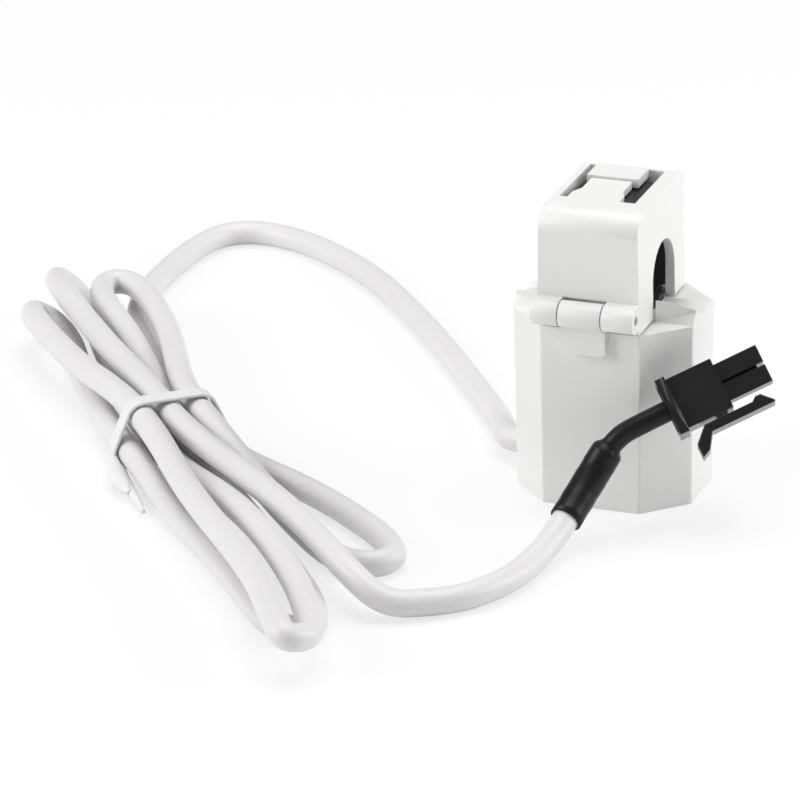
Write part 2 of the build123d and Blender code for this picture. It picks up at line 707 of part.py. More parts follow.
# Heat-shrink sleeve: thick over the cord, thin over the two wires up to the plug
plug_rear = Vector(*plug_place)
sleeve_back = Vector(*plug_direction_share).normalized()
sleeve_end = plug_rear + sleeve_back * flange_recess
sleeve_waist = between(sleeve_points[0], sleeve_points[1], waist_share)
sleeve_waist_plane = Plane(origin=sleeve_waist, z_dir=sleeve_points[1] - sleeve_points[0])
sleeve_last = plug_rear - sleeve_back * sleeve_run_in
thick, thick_path = tube([sleeve_mouth, sleeve_points[0], sleeve_waist], sleeve_thick_radius)
thin, thin_path = tube([sleeve_waist, sleeve_points[1], sleeve_last, sleeve_end], sleeve_thin_radius)
with BuildPart() as heat_shrink_sleeve:
    add(thick)
    add(thin)
    with BuildSketch(sleeve_waist_plane):
        Circle(sleeve_thick_radius)
    with BuildSketch(sleeve_waist_plane.offset(sleeve_step)):
        Circle(sleeve_thin_radius)
    loft(ruled=True)
    with BuildSketch(Plane(origin=sleeve_mouth, z_dir=sleeve_line).offset(-overrun)):
        Circle(cord_radius + sleeve_gap)
    extrude(amount=sleeve_overlap + overrun, mode=Mode.SUBTRACT)
heat_shrink_sleeve.part.label = "heat_shrink_sleeve"

# Tie round the waist of the hank
tie_plane = Plane(origin=hank_point(-tie_half_width, 0, 0), x_dir=hank_across, z_dir=hank_axis)
low_lanes = [lane for _, lane, layer, _ in hank_strands if layer == layer_low]
high_lanes = [lane for _, lane, layer, _ in hank_strands if layer == layer_high]
tie_corners = [(lane_middle + pick(lanes) * lane_step, layer + waist_lift)
               for lanes, layer in ((low_lanes, layer_low), (high_lanes, layer_high))
               for pick in (min, max)]
with BuildPart() as hank_tie:
    for growth, mode in ((tie_gap + tie_thickness, Mode.ADD), (tie_gap, Mode.SUBTRACT)):
        with BuildSketch(tie_plane):
            for across, height in tie_corners:
                with Locations((across, height)):
                    Circle(cord_radius + growth)
            make_hull()
        extrude(amount=tie_half_width * 2, mode=mode)
hank_tie.part.label = "hank_tie"

# Plug: flange, block and two silos, with wire holes, terminal cavities and the neck of its latch
cavity_foot = silo_end - cavity_depth
terminal_foot = cavity_foot + seat_gap
with BuildPart() as plug_housing:
    with BuildSketch(plug_plane.offset(-flange_depth / 2)):
        with Locations((flange_thickness / 2, 0)):
            Rectangle(flange_thickness, flange_height)
    extrude(amount=flange_depth)
    with BuildSketch(plug_plane.offset(-block_depth / 2)):
        with Locations((block_end / 2, 0)):
            Rectangle(block_end, block_height)
    extrude(amount=block_depth)
    with BuildSketch(plug_plane.offset(block_depth / 2 - silo_recess - silo_depth)):
        for side in (-1, 1):
            with Locations(((block_end + silo_end) / 2, side * plug_pitch / 2)):
                Rectangle(silo_end - block_end, silo_height)
    extrude(amount=silo_depth)
    with BuildSketch(plug_plane.offset(block_depth / 2 - silo_recess - silo_depth)):
        with Locations(((block_end + silo_end - silo_web_end) / 2, 0)):
            Rectangle(silo_end - silo_web_end - block_end, plug_pitch)
    extrude(amount=silo_web_depth)
    with BuildSketch(plug_plane.offset(flange_rim - flange_depth / 2)):
        with Locations((flange_recess / 2, 0)):
            Rectangle(flange_recess, flange_height - flange_rim * 2)
    extrude(amount=flange_depth - flange_rim * 2, mode=Mode.SUBTRACT)
    with BuildSketch(plug_plane.offset(-plug_latch_depth / 2)):
        with Locations(((plug_latch_neck_start + plug_latch_neck_end) / 2, -block_height / 2)):
            Rectangle(plug_latch_neck_end - plug_latch_neck_start, plug_latch_neck_drop * 2)
    extrude(amount=plug_latch_depth)
    for side in (-1, 1):
        hole = Plane(origin=plug_plane.from_local_coords((0, side * plug_pitch / 2, 0)),
                     x_dir=plug_plane.y_dir, z_dir=plug_plane.x_dir)
        with BuildSketch(hole.offset(-overrun)):
            Circle(plug_wire_radius + wire_hole_gap)
        extrude(amount=cavity_foot + overrun * 2, mode=Mode.SUBTRACT)
        with BuildSketch(hole.offset(cavity_foot)):
            Rectangle(cavity_side, cavity_side)
        extrude(amount=cavity_depth + overrun, mode=Mode.SUBTRACT)
plug_housing.part.label = "plug_housing"

for number, side in enumerate((-1, 1), 1):
    hole = Plane(origin=plug_plane.from_local_coords((0, side * plug_pitch / 2, 0)),
                 x_dir=plug_plane.y_dir, z_dir=plug_plane.x_dir)
    with BuildPart() as plug_wire:
        with BuildSketch(hole.offset(flange_recess)):
            Circle(plug_wire_radius)
        extrude(amount=terminal_foot - flange_recess)
    plug_wire.part.label = f"plug_wire_{number}"
    export_step(plug_wire.part, f"parts/plug_wire_{number}.step")
    with BuildPart() as plug_terminal:
        with BuildSketch(hole.offset(terminal_foot)):
            Rectangle(terminal_side, terminal_side)
        extrude(amount=terminal_length)
        with BuildSketch(hole.offset(terminal_foot + terminal_wall)):
            Rectangle(terminal_side - terminal_wall * 2, terminal_side - terminal_wall * 2)
        extrude(amount=terminal_length, mode=Mode.SUBTRACT)
    plug_terminal.part.label = f"plug_terminal_{number}"
    export_step(plug_terminal.part, f"parts/plug_terminal_{number}.step")

# Latch lever of the plug, pivoting on its neck
arm_top = -block_height / 2 - plug_latch_neck_drop - plug_latch_gap
arm_low = arm_top - plug_latch_arm
pad_low = arm_top - plug_latch_pad_drop
hook_start = plug_latch_tip - plug_latch_hook_length
with BuildPart() as plug_latch:
    with BuildSketch(plug_plane.offset(-plug_latch_depth / 2)):
        Polygon((plug_latch_pad_root, arm_top), (hook_start - plug_latch_hook_length, arm_top),
                (hook_start - plug_latch_hook_length / 2, arm_top + plug_latch_hook),
                (hook_start, arm_top + plug_latch_hook),
                (plug_latch_tip, arm_low + plug_latch_hook / 2), (plug_latch_tip, arm_low),
                (plug_latch_pad_root, arm_low),
                (plug_latch_pad_end + plug_latch_arm, pad_low + plug_latch_arm / 2),
                (plug_latch_pad_end, pad_low), (plug_latch_pad_end, pad_low + plug_latch_pad_drop / 2),
                (plug_latch_pad_root - plug_latch_arm / 2, arm_top), align=None)
    extrude(amount=plug_latch_depth)
plug_latch.part.label = "plug_latch"

finished = [housing_shell, base_cover, lower_core, upper_core, bobbin, secondary_winding, core_carrier,
            core_retainer, jaw_shell, hinge_pin, latch_tongue, circuit_board, cord_grommet,
            heat_shrink_sleeve, hank_tie, plug_housing, plug_latch]
for piece in finished:
    export_step(piece.part, f"parts/{piece.part.label}.step")
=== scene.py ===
"""A split-core current clamp of a home energy monitor, with its tied cord and latching plug.

Everything is in metres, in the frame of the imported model: the origin is the centre of the
housing's base, X runs along the clamped conductor, the hinge is at -Y, and Z is up.
"""

import logging
import math
from dataclasses import dataclass, field
from enum import Enum

import bmesh
import bpy
from mathutils import Matrix, Vector


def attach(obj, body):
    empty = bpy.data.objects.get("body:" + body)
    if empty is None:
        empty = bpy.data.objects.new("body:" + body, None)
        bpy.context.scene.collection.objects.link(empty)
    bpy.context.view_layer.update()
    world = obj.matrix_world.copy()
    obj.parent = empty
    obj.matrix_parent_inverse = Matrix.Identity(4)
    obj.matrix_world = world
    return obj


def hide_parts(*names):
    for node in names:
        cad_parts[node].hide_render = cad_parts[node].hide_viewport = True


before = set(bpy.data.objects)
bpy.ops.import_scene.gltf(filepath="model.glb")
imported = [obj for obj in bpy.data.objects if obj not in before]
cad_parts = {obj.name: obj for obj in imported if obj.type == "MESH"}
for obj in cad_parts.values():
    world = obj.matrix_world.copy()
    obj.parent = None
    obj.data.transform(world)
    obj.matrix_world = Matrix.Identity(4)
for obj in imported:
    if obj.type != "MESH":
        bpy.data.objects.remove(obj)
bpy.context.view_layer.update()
LOG = logging.getLogger("current_clamp")

MM = 0.001
# Heights of the cord's middle in millimetres, on the floor and on a strand that lies there.
LOW, HIGH = 1.95, 6.8

Color = tuple[float, float, float]
Place = tuple[float, float, float]


def millimetres(*values: float) -> Vector:
    """A point given in millimetres, as a vector in metres."""
    return Vector(values) * MM


class Slot(Enum):
    """Names of material slots that are handed to the new pieces but not read."""

    CORD = "white_cord"
    TIE = "white_tie"
    SLEEVE = "black_sleeve"


class Relief(Enum):
    """What the bump of a finish shows."""

    GRAIN = "grain"
    TURNS = "turns"


@dataclass
class SurfaceGroups:
    """Shader node groups that several finishes share."""

    built: dict[str, bpy.types.NodeTree] = field(default_factory=dict)
    patch_detail: float = 4.0
    grain_detail: float = 2.0

    def mottle(self) -> bpy.types.NodeTree:
        """Build the soft variation of colour and roughness with a fine grain, once for all finishes.

        Returns:
            The group, with Color, Roughness and Height outputs.
        """
        if "mottle" not in self.built:
            tree = bpy.data.node_groups.new("moulded_mottle", "ShaderNodeTree")
            self._sockets(tree)
            self._mottle_nodes(tree)
            self.built["mottle"] = tree
        return self.built["mottle"]

    def _sockets(self, tree: bpy.types.NodeTree) -> None:
        """Give the group its named inputs and outputs.

        Args:
            tree: The empty group.
        """
        for name, kind, default in (
            ("Color", "NodeSocketColor", (0.8, 0.8, 0.8, 1.0)),
            ("Tint", "NodeSocketColor", (0.7, 0.7, 0.7, 1.0)),
            ("Roughness", "NodeSocketFloat", 0.4),
            ("Roughness Spread", "NodeSocketFloat", 0.08),
            ("Patch Scale", "NodeSocketFloat", 120.0),
            ("Grain Scale", "NodeSocketFloat", 3000.0),
        ):
            socket = tree.interface.new_socket(name, in_out="INPUT", socket_type=kind)
            socket.default_value = default
        for name, kind in (
            ("Color", "NodeSocketColor"),
            ("Roughness", "NodeSocketFloat"),
            ("Height", "NodeSocketFloat"),
        ):
            tree.interface.new_socket(name, in_out="OUTPUT", socket_type=kind)

    def _mottle_nodes(self, tree: bpy.types.NodeTree) -> None:
        """Fill the group: patches mix the colours and spread the gloss, grain gives the height.

        Args:
            tree: The group with its sockets.
        """
        nodes, links = tree.nodes, tree.links
        inputs, outputs = nodes.new("NodeGroupInput"), nodes.new("NodeGroupOutput")
        place = nodes.new("ShaderNodeTexCoord")
        patch, grain = nodes.new("ShaderNodeTexNoise"), nodes.new("ShaderNodeTexNoise")
        patch.inputs["Detail"].default_value = self.patch_detail
        grain.inputs["Detail"].default_value = self.grain_detail
        for noise, scale in ((patch, "Patch Scale"), (grain, "Grain Scale")):
            links.new(place.outputs["Object"], noise.inputs["Vector"])
            links.new(inputs.outputs[scale], noise.inputs["Scale"])
        mix = nodes.new("ShaderNodeMix")
        mix.data_type = "RGBA"
        links.new(patch.outputs["Fac"], mix.inputs["Factor"])
        links.new(inputs.outputs["Color"], mix.inputs["A"])
        links.new(inputs.outputs["Tint"], mix.inputs["B"])
        links.new(mix.outputs["Result"], outputs.inputs["Color"])
        spread = nodes.new("ShaderNodeMath")
        spread.operation = "MULTIPLY_ADD"
        links.new(patch.outputs["Fac"], spread.inputs[0])
        links.new(inputs.outputs["Roughness Spread"], spread.inputs[1])
        links.new(inputs.outputs["Roughness"], spread.inputs[2])
        links.new(spread.outputs["Value"], outputs.inputs["Roughness"])
        links.new(grain.outputs["Fac"], outputs.inputs["Height"])


@dataclass(frozen=True)
class Finish:
    """One finish: its colours, its gloss and how its surface is broken up, with lengths in metres."""

    name: str
    color: Color
    tint: Color
    roughness: float
    relief: Relief = Relief.GRAIN
    spread: float = 0.08
    patch_scale: float = 120.0
    grain_scale: float = 3000.0
    turns_scale: float = 900.0
    turns_distortion: float = 0.6
    bump: float = 0.05
    bump_depth: float = 0.00002
    metallic: float = 0.0
    subsurface: float = 0.0
    specular: float = 0.5

    def build(self, groups: SurfaceGroups) -> bpy.types.Material:
        """Make the material.

        Args:
            groups: The shared node groups.

        Returns:
            The finished material.
        """
        material = bpy.data.materials.new(self.name)
        material.use_nodes = True
        nodes, links = material.node_tree.nodes, material.node_tree.links
        shader = nodes["Principled BSDF"]
        mottle = nodes.new("ShaderNodeGroup")
        mottle.node_tree = groups.mottle()
        for socket, value in (
            ("Color", (*self.color, 1.0)),
            ("Tint", (*self.tint, 1.0)),
            ("Roughness", self.roughness),
            ("Roughness Spread", self.spread),
            ("Patch Scale", self.patch_scale),
            ("Grain Scale", self.grain_scale),
        ):
            mottle.inputs[socket].default_value = value
        links.new(mottle.outputs["Color"], shader.inputs["Base Color"])
        links.new(mottle.outputs["Roughness"], shader.inputs["Roughness"])
        height = self._turns(nodes, links) if self.relief is Relief.TURNS else mottle.outputs["Height"]
        bump = nodes.new("ShaderNodeBump")
        bump.inputs["Strength"].default_value = self.bump
        bump.inputs["Distance"].default_value = self.bump_depth
        links.new(height, bump.inputs["Height"])
        links.new(bump.outputs["Normal"], shader.inputs["Normal"])
        shader.inputs["Metallic"].default_value = self.metallic
        shader.inputs["Specular IOR Level"].default_value = self.specular
        shader.inputs["Subsurface Weight"].default_value = self.subsurface
        shader.inputs["Subsurface Scale"].default_value = MM
        return material

    def _turns(self, nodes: bpy.types.Nodes, links: bpy.types.NodeLinks) -> bpy.types.NodeSocket:
        """Add waves that stand for turns of thin wire.

        Args:
            nodes: The material's nodes.
            links: The material's links.

        Returns:
            The socket with the height of the turns.
        """
        place = nodes.new("ShaderNodeTexCoord")
        turns = nodes.new("ShaderNodeTexWave")
        turns.bands_direction = "Y"
        turns.inputs["Scale"].default_value = self.turns_scale
        turns.inputs["Distortion"].default_value = self.turns_distortion
        links.new(place.outputs["Object"], turns.inputs["Vector"])
        return turns.outputs["Fac"]


FINISHES = {
    "housing": Finish("white_moulded_plastic", (0.80, 0.80, 0.79), (0.83, 0.83, 0.82), 0.34,
                      bump=0.04, subsurface=0.04),
    "ferrite": Finish("sintered_ferrite", (0.035, 0.035, 0.038), (0.06, 0.06, 0.062), 0.55,
                      patch_scale=600.0, grain_scale=5000.0, bump=0.25),
    "inner": Finish("black_inner_plastic", (0.018, 0.018, 0.019), (0.028, 0.028, 0.03), 0.45),
    "copper": Finish("enamelled_copper", (0.55, 0.24, 0.10), (0.62, 0.30, 0.13), 0.3, Relief.TURNS,
                     metallic=1.0, bump=0.5, bump_depth=0.0001),
    "board": Finish("green_board", (0.03, 0.16, 0.07), (0.05, 0.20, 0.09), 0.35, patch_scale=300.0),
    "diode": Finish("black_diode", (0.02, 0.02, 0.02), (0.03, 0.03, 0.03), 0.3),
    "tinned": Finish("tinned_wire", (0.66, 0.66, 0.64), (0.58, 0.58, 0.57), 0.28, metallic=1.0),
    "insulation": Finish("thin_insulation", (0.62, 0.62, 0.60), (0.56, 0.56, 0.54), 0.4),
    "steel": Finish("bright_pin_steel", (0.42, 0.42, 0.43), (0.5, 0.5, 0.5), 0.25, metallic=1.0),
    "cord": Finish("white_cord_jacket", (0.705, 0.694, 0.698), (0.74, 0.728, 0.732), 0.36,
                   patch_scale=60.0, grain_scale=2200.0, bump=0.06, subsurface=0.05),
    "tie": Finish("coated_tie", (0.74, 0.74, 0.735), (0.79, 0.79, 0.785), 0.42, patch_scale=200.0),
    "sleeve": Finish("black_heat_shrink", (0.006, 0.006, 0.007), (0.012, 0.012, 0.014), 0.30,
                     spread=0.12, patch_scale=220.0, grain_scale=1400.0, bump=0.22,
                     bump_depth=0.00005, specular=0.25),
    "plug": Finish("black_nylon", (0.009, 0.009, 0.0102), (0.014, 0.014, 0.0156), 0.20,
                   spread=0.06, patch_scale=260.0, grain_scale=2600.0, bump=0.06),
    "terminal": Finish("stamped_contact", (0.70, 0.60, 0.36), (0.6, 0.5, 0.3), 0.25, metallic=1.0),
}


@dataclass
class Workshop:
    """Holds the materials and dresses CAD nodes and new pieces with them, with lengths in metres."""

    groups: SurfaceGroups = field(default_factory=SurfaceGroups)
    materials: dict[str, bpy.types.Material] = field(default_factory=dict)
    weld_distance: float = MM / 500
    edge_segments: int = 2
    edge_angle: float = math.radians(32.0)

    def material(self, name: str) -> bpy.types.Material:
        """Look up the material of one finish, and make it on first use.

        Args:
            name: The finish's key.

        Returns:
            The material.
        """
        if name not in self.materials:
            self.materials[name] = FINISHES[name].build(self.groups)
        return self.materials[name]

    def dress_node(self, node: str, finish: str) -> bpy.types.Object:
        """Give a CAD node a finish.

        Args:
            node: The CAD node's name.
            finish: The finish's key.

        Returns:
            The node's object.
        """
        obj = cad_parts[node]
        material = self.material(finish)
        if not obj.material_slots:
            obj.data.materials.append(material)
        for slot in obj.material_slots:
            slot.material = material
        LOG.info("node %s is dressed as %s", node, finish)
        return obj

    def soften(self, obj: bpy.types.Object, width: float) -> None:
        """Round the sharp edges of a CAD node with modifiers, leaving its mesh alone.

        Args:
            obj: The CAD node's object.
            width: The rounding's width in metres.
        """
        weld = obj.modifiers.new("join_faces", "WELD")
        weld.merge_threshold = self.weld_distance
        bevel = obj.modifiers.new("soft_edges", "BEVEL")
        bevel.width = width
        bevel.segments = self.edge_segments
        bevel.limit_method = "ANGLE"
        bevel.angle_limit = self.edge_angle
        bevel.use_clamp_overlap = True

    def piece(self, name: str, mesh: bpy.types.Mesh, finish: str, body: str, slot: Slot) -> bpy.types.Object:
        """Make an object of a mesh, dress it and let it ride on a body.

        Args:
            name: The piece's name.
            mesh: Its mesh, already in place.
            finish: The finish's key.
            body: The CAD body that it rides on.
            slot: A material slot's name; not used.

        Returns:
            The new object.
        """
        obj = bpy.data.objects.new(name, mesh)
        bpy.context.scene.collection.objects.link(obj)
        obj.data.materials.append(self.material(finish))
        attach(obj, body)
        LOG.info("piece %s rides on %s", name, body)
        return obj


@dataclass(frozen=True)
class Softbox:
    """One square lamp: where it hangs in metres, its side and its power in watts."""

    name: str
    place: Place
    size: float
    power: float

    def hang(self, aim: Vector) -> None:
        """Hang the lamp so that it faces a point.

        Args:
            aim: The point, in metres.
        """
        data = bpy.data.lights.new(self.name, "AREA")
        data.size, data.energy = self.size, self.power
        lamp = bpy.data.objects.new(self.name, data)
        place = Vector(self.place)
        turn = (aim - place).to_track_quat("-Z", "Y")
        lamp.matrix_world = Matrix.Translation(place) @ turn.to_matrix().to_4x4()
        bpy.context.scene.collection.objects.link(lamp)


@dataclass
class Studio:
    """Camera at the photograph's angle, soft boxes and a pale floor.

    The angles are in degrees, the lens and sensor in millimetres, and other lengths in metres.
    """

    azimuth: float = 20.725
    elevation: float = 22.177
    roll: float = -1.217
    target: Vector = field(default_factory=lambda: millimetres(-32.613, 0.0, 8.308))
    distance: float = 0.724132
    lens: float = 225.0
    sensor: float = 36.0
    clip_start: float = 0.05
    clip_end: float = 10.0
    lamp_aim: Vector = field(default_factory=lambda: millimetres(-10.0, 0.0, 18.0))
    lamps: tuple[Softbox, ...] = (
        Softbox("left_softbox", (-0.56, -0.37, 0.34), 0.45, 3.1),
        Softbox("right_softbox", (0.66, 0.26, 0.27), 0.45, 3.3),
        Softbox("top_softbox", (-0.02, 0.07, 0.76), 0.60, 3.8),
    )
    room_strength: float = 0.25
    floor_half_side: float = 3.0
    floor_shade: float = 0.86
    floor_roughness: float = 0.9
    floor_page_share: float = 0.72

    def camera(self) -> None:
        """Place the camera and make it the scene's own."""
        azimuth, elevation, roll = (math.radians(v) for v in (self.azimuth, self.elevation, self.roll))
        level = Vector((math.cos(azimuth), math.sin(azimuth), 0.0))
        back = Vector((
            math.sin(azimuth) * math.cos(elevation),
            -math.cos(azimuth) * math.cos(elevation),
            math.sin(elevation),
        ))
        upright = back.cross(level)
        right = level * math.cos(roll) + upright * math.sin(roll)
        up = upright * math.cos(roll) - level * math.sin(roll)
        data = bpy.data.cameras.new("photo_camera")
        data.lens, data.sensor_width, data.sensor_fit = self.lens, self.sensor, "HORIZONTAL"
        data.clip_start, data.clip_end = self.clip_start, self.clip_end
        camera = bpy.data.objects.new("photo_camera", data)
        turn = Matrix((right, up, back)).transposed().to_4x4()
        camera.matrix_world = Matrix.Translation(self.target + back * self.distance) @ turn
        bpy.context.scene.collection.objects.link(camera)
        bpy.context.scene.camera = camera
        LOG.info("camera at azimuth %.1f and elevation %.1f", self.azimuth, self.elevation)

    def lights(self) -> None:
        """Hang the lamps and light the world."""
        for lamp in self.lamps:
            lamp.hang(self.lamp_aim)
        world = bpy.data.worlds.new("pale_room")
        bpy.context.scene.world = world
        world.use_nodes = True
        tree = world.node_tree
        room, page = tree.nodes["Background"], tree.nodes.new("ShaderNodeBackground")
        for shader, strength in ((room, self.room_strength), (page, 1.0)):
            shader.inputs["Color"].default_value = (1.0, 1.0, 1.0, 1.0)
            shader.inputs["Strength"].default_value = strength
        self._page_mix(tree, room, page, tree.nodes["World Output"].inputs["Surface"], 1.0)
        LOG.info("%d lamps and the room's light", len(self.lamps))

    def _page_mix(self, tree: bpy.types.NodeTree, lit: bpy.types.Node, page: bpy.types.Node,
                  output: bpy.types.NodeSocket, share: float, rays: tuple[str, ...] = ()) -> None:
        """Show a plain page to the camera and to the rays that are named, and the lit shader to the rest.

        Args:
            tree: The node tree to build in.
            lit: The shader that light falls on.
            page: The plain shader.
            output: The socket that takes the mix.
            share: How much of the page is shown, from 0 to 1.
            rays: Other kinds of ray that see the page, as outputs of the Light Path node.
        """
        nodes, links = tree.nodes, tree.links
        path = nodes.new("ShaderNodeLightPath")
        seen = path.outputs["Is Camera Ray"]
        for ray in rays:
            either = nodes.new("ShaderNodeMath")
            either.operation = "MAXIMUM"
            links.new(seen, either.inputs[0])
            links.new(path.outputs[ray], either.inputs[1])
            seen = either.outputs["Value"]
        scale = nodes.new("ShaderNodeMath")
        scale.operation = "MULTIPLY"
        scale.inputs[1].default_value = share
        links.new(seen, scale.inputs[0])
        mix = nodes.new("ShaderNodeMixShader")
        links.new(scale.outputs["Value"], mix.inputs["Fac"])
        links.new(lit.outputs[0], mix.inputs[1])
        links.new(page.outputs[0], mix.inputs[2])
        links.new(mix.outputs["Shader"], output)

    def floor(self) -> None:
        """Lay the pale floor that keeps a faint shadow."""
        mesh = bpy.data.meshes.new("floor")
        shape = bmesh.new()
        bmesh.ops.create_grid(shape, x_segments=1, y_segments=1, size=self.floor_half_side)
        shape.to_mesh(mesh)
        shape.free()
        floor = bpy.data.objects.new("floor", mesh)
        bpy.context.scene.collection.objects.link(floor)
        material = bpy.data.materials.new("pale_floor")
        material.use_nodes = True
        tree = material.node_tree
        paper = tree.nodes["Principled BSDF"]
        paper.inputs["Base Color"].default_value = (*(self.floor_shade,) * 3, 1.0)
        paper.inputs["Roughness"].default_value = self.floor_roughness
        paper.inputs["Specular IOR Level"].default_value = 0.0
        page = tree.nodes.new("ShaderNodeEmission")
        page.inputs["Strength"].default_value = 1.0
        self._page_mix(tree, paper, page, tree.nodes["Material Output"].inputs["Surface"],
                       self.floor_page_share, ("Is Glossy Ray", "Is Transmission Ray"))
        mesh.materials.append(material)
        LOG.info("floor laid")


@dataclass(frozen=True)
class Strand:
    """One strand of the hank, from its upper fold over the waist to its lower fold.

    The points give the way along the hank, across it and up, in millimetres. At the waist a
    strand has a lane, counted from the middle, and a layer.
    """

    before: tuple[Place, ...]
    lane: float
    layer: float
    after: tuple[Place, ...]


@dataclass
class CordRoute:
    """The route of the cord in millimetres: out of the wall, round the hank and up to the plug.

    The lead runs from inside the wall to the first strand, and the hank's exit leads from the last
    strand to the tail, which ends at the sleeve. The rise goes on inside the sleeve. The strands and
    the exit are given along and across the hank.
    """

    waist_lift: float = 1.4
    waist_half_length: float = 8.0
    lane_step: float = 4.3
    lane_middle: float = 1.5
    centre: tuple[float, float] = (-64.0, -15.0)
    heading: float = math.atan2(0.77, 0.64)
    sleeve_set_back: float = 3.0
    sleeve_overlap: float = 3.0
    lead: tuple[Place, ...] = (
        (-10.95, 2.0, 3.4), (-16.3, 2.0, 3.4), (-18.5, 5.4, 3.0), (-20.6, 10.6, 2.1), (-26.4, 19.2, LOW),
        (-34.6, 30.6, LOW), (-43.2, 42.2, LOW), (-52.0, 52.9, LOW), (-59.1, 60.7, LOW), (-65.5, 66.2, LOW),
        (-72.0, 70.8, LOW), (-78.6, 74.2, LOW), (-86.2, 75.4, LOW), (-91.6, 70.5, LOW),
    )
    strands: tuple[Strand, ...] = (
        Strand(((-69.8, 21.0, LOW), (-57.0, 12.8, LOW), (-36.0, 9.9, LOW)), 1.5, LOW,
               ((24.0, 17.0, LOW), (48.5, 21.2, LOW))),
        Strand(((-57.5, 13.8, HIGH), (-33.0, 11.9, HIGH)), 1.0, HIGH,
               ((28.0, 9.6, LOW), (48.5, 11.4, LOW))),
        Strand(((-57.5, 6.2, HIGH), (-31.0, 5.9, HIGH)), 0.5, LOW,
               ((34.0, 4.8, LOW), (65.0, 3.6, LOW))),
        Strand(((-53.0, 1.0, LOW), (-31.0, -2.8, LOW)), -1.5, LOW,
               ((22.0, -4.8, LOW), (42.0, -3.5, LOW), (65.0, -4.2, LOW))),
        Strand(((-54.0, -5.9, HIGH), (-28.0, -5.2, HIGH)), -1.0, HIGH,
               ((26.0, -3.9, HIGH), (56.0, -3.9, 7.3), (73.0, -6.4, 7.3), (77.0, -6.6, 6.8))),
        Strand(((-65.0, 7.4, LOW), (-37.0, 3.0, LOW)), -0.5, LOW,
               ((34.0, 1.6, HIGH), (57.0, 1.2, 6.7), (71.0, -0.9, 6.0), (75.4, -2.5, 5.6))),
        Strand(((-65.0, 1.2, 7.6), (-34.0, 0.9, 7.4)), 0.0, HIGH,
               ((30.0, 6.7, HIGH),)),
    )
    hank_exit: tuple[Place, ...] = ((46.0, 8.0, HIGH), (57.0, 8.8, 5.8), (63.0, 12.0, 2.6), (63.5, 18.5, LOW))
    tail: tuple[Place, ...] = ((-4.8, -48.6, LOW), (-1.3, -41.4, LOW), (-0.2, -34.0, 2.1), (0.5, -28.0, 3.0))
    rise: tuple[Place, ...] = ((2.8, -19.0, 8.4), (5.6, -17.0, 13.9))

    along: Vector = field(init=False)
    across: Vector = field(init=False)

    def __post_init__(self) -> None:
        """Work out the directions along and across the hank."""
        self.along = Vector((math.cos(self.heading), -math.sin(self.heading), 0.0))
        self.across = Vector((math.sin(self.heading), math.cos(self.heading), 0.0))

    def hank_point(self, along: float, across: float, height: float) -> Vector:
        """Turn a point of the hank into one of the frame.

        Args:
            along: The way along the hank from its waist.
            across: The way across it from its middle line.
            height: The height over the floor.

        Returns:
            The point in the frame, still in millimetres.
        """
        place = Vector((*self.centre, 0.0)) + self.along * along + self.across * across
        return Vector((place.x, place.y, height))

    def hank_points(self) -> list[Vector]:
        """Join the strands, which are run down and up in turn.

        Returns:
            The control points of the whole hank.
        """
        points: list[Vector] = []
        for number, strand in enumerate(self.strands):
            across = self.lane_middle + strand.lane * self.lane_step
            height = strand.layer + self.waist_lift
            waist = tuple((side * self.waist_half_length, across, height) for side in (-1, 1))
            places = strand.before + waist + strand.after
            points += [self.hank_point(*p) for p in (places if number % 2 == 0 else places[::-1])]
        return points

    def sleeve_line(self) -> Vector:
        """The direction in which the cord enters the sleeve."""
        return (Vector(self.rise[0]) - Vector(self.tail[-1])).normalized()

    def mouth(self) -> Vector:
        """The middle of the sleeve's open end."""
        return Vector(self.tail[-1]) + self.sleeve_line() * self.sleeve_set_back

    def cord_points(self) -> list[Vector]:
        """Join the whole route of the white cord.

        Returns:
            Its control points, from inside the wall to inside the sleeve.
        """
        points = [Vector(p) for p in self.lead] + self.hank_points()
        points += [self.hank_point(*p) for p in self.hank_exit]
        points += [Vector(p) for p in self.tail]
        return points + [self.mouth() + self.sleeve_line() * self.sleeve_overlap]


def nurbs(name: str, points: list[Vector], order: int = 3, steps: int = 12) -> bpy.types.Curve:
    """Make one open smooth curve with the given control points.

    Args:
        name: The curve's name.
        points: Its control points in millimetres.
        order: How many control points shape each stretch of it.
        steps: How many steps each stretch is drawn with.

    Returns:
        The curve data.
    """
    curve = bpy.data.curves.new(name, "CURVE")
    curve.dimensions = "3D"
    spline = curve.splines.new("NURBS")
    spline.points.add(len(points) - 1)
    for point, place in zip(spline.points, points):
        point.co = (*(place * MM), 1.0)
    spline.order_u = order
    spline.use_endpoint_u = True
    spline.resolution_u = steps
    return curve


def centreline(points: list[Vector]) -> list[Vector]:
    """Read points along the smooth curve of a route.

    Args:
        points: The route's control points in millimetres.

    Returns:
        The points on the curve, in metres.
    """
    curve = nurbs("route_probe", points)
    probe = bpy.data.objects.new("route_probe", curve)
    bpy.context.scene.collection.objects.link(probe)
    mesh = bpy.data.meshes.new_from_object(probe)
    places = [v.co.copy() for v in mesh.vertices]
    bpy.data.objects.remove(probe)
    bpy.data.meshes.remove(mesh)
    return places


def eased(share: float) -> float:
    """A share from 0 to 1 with a soft start and end."""
    return share * share * (3.0 - 2.0 * share)


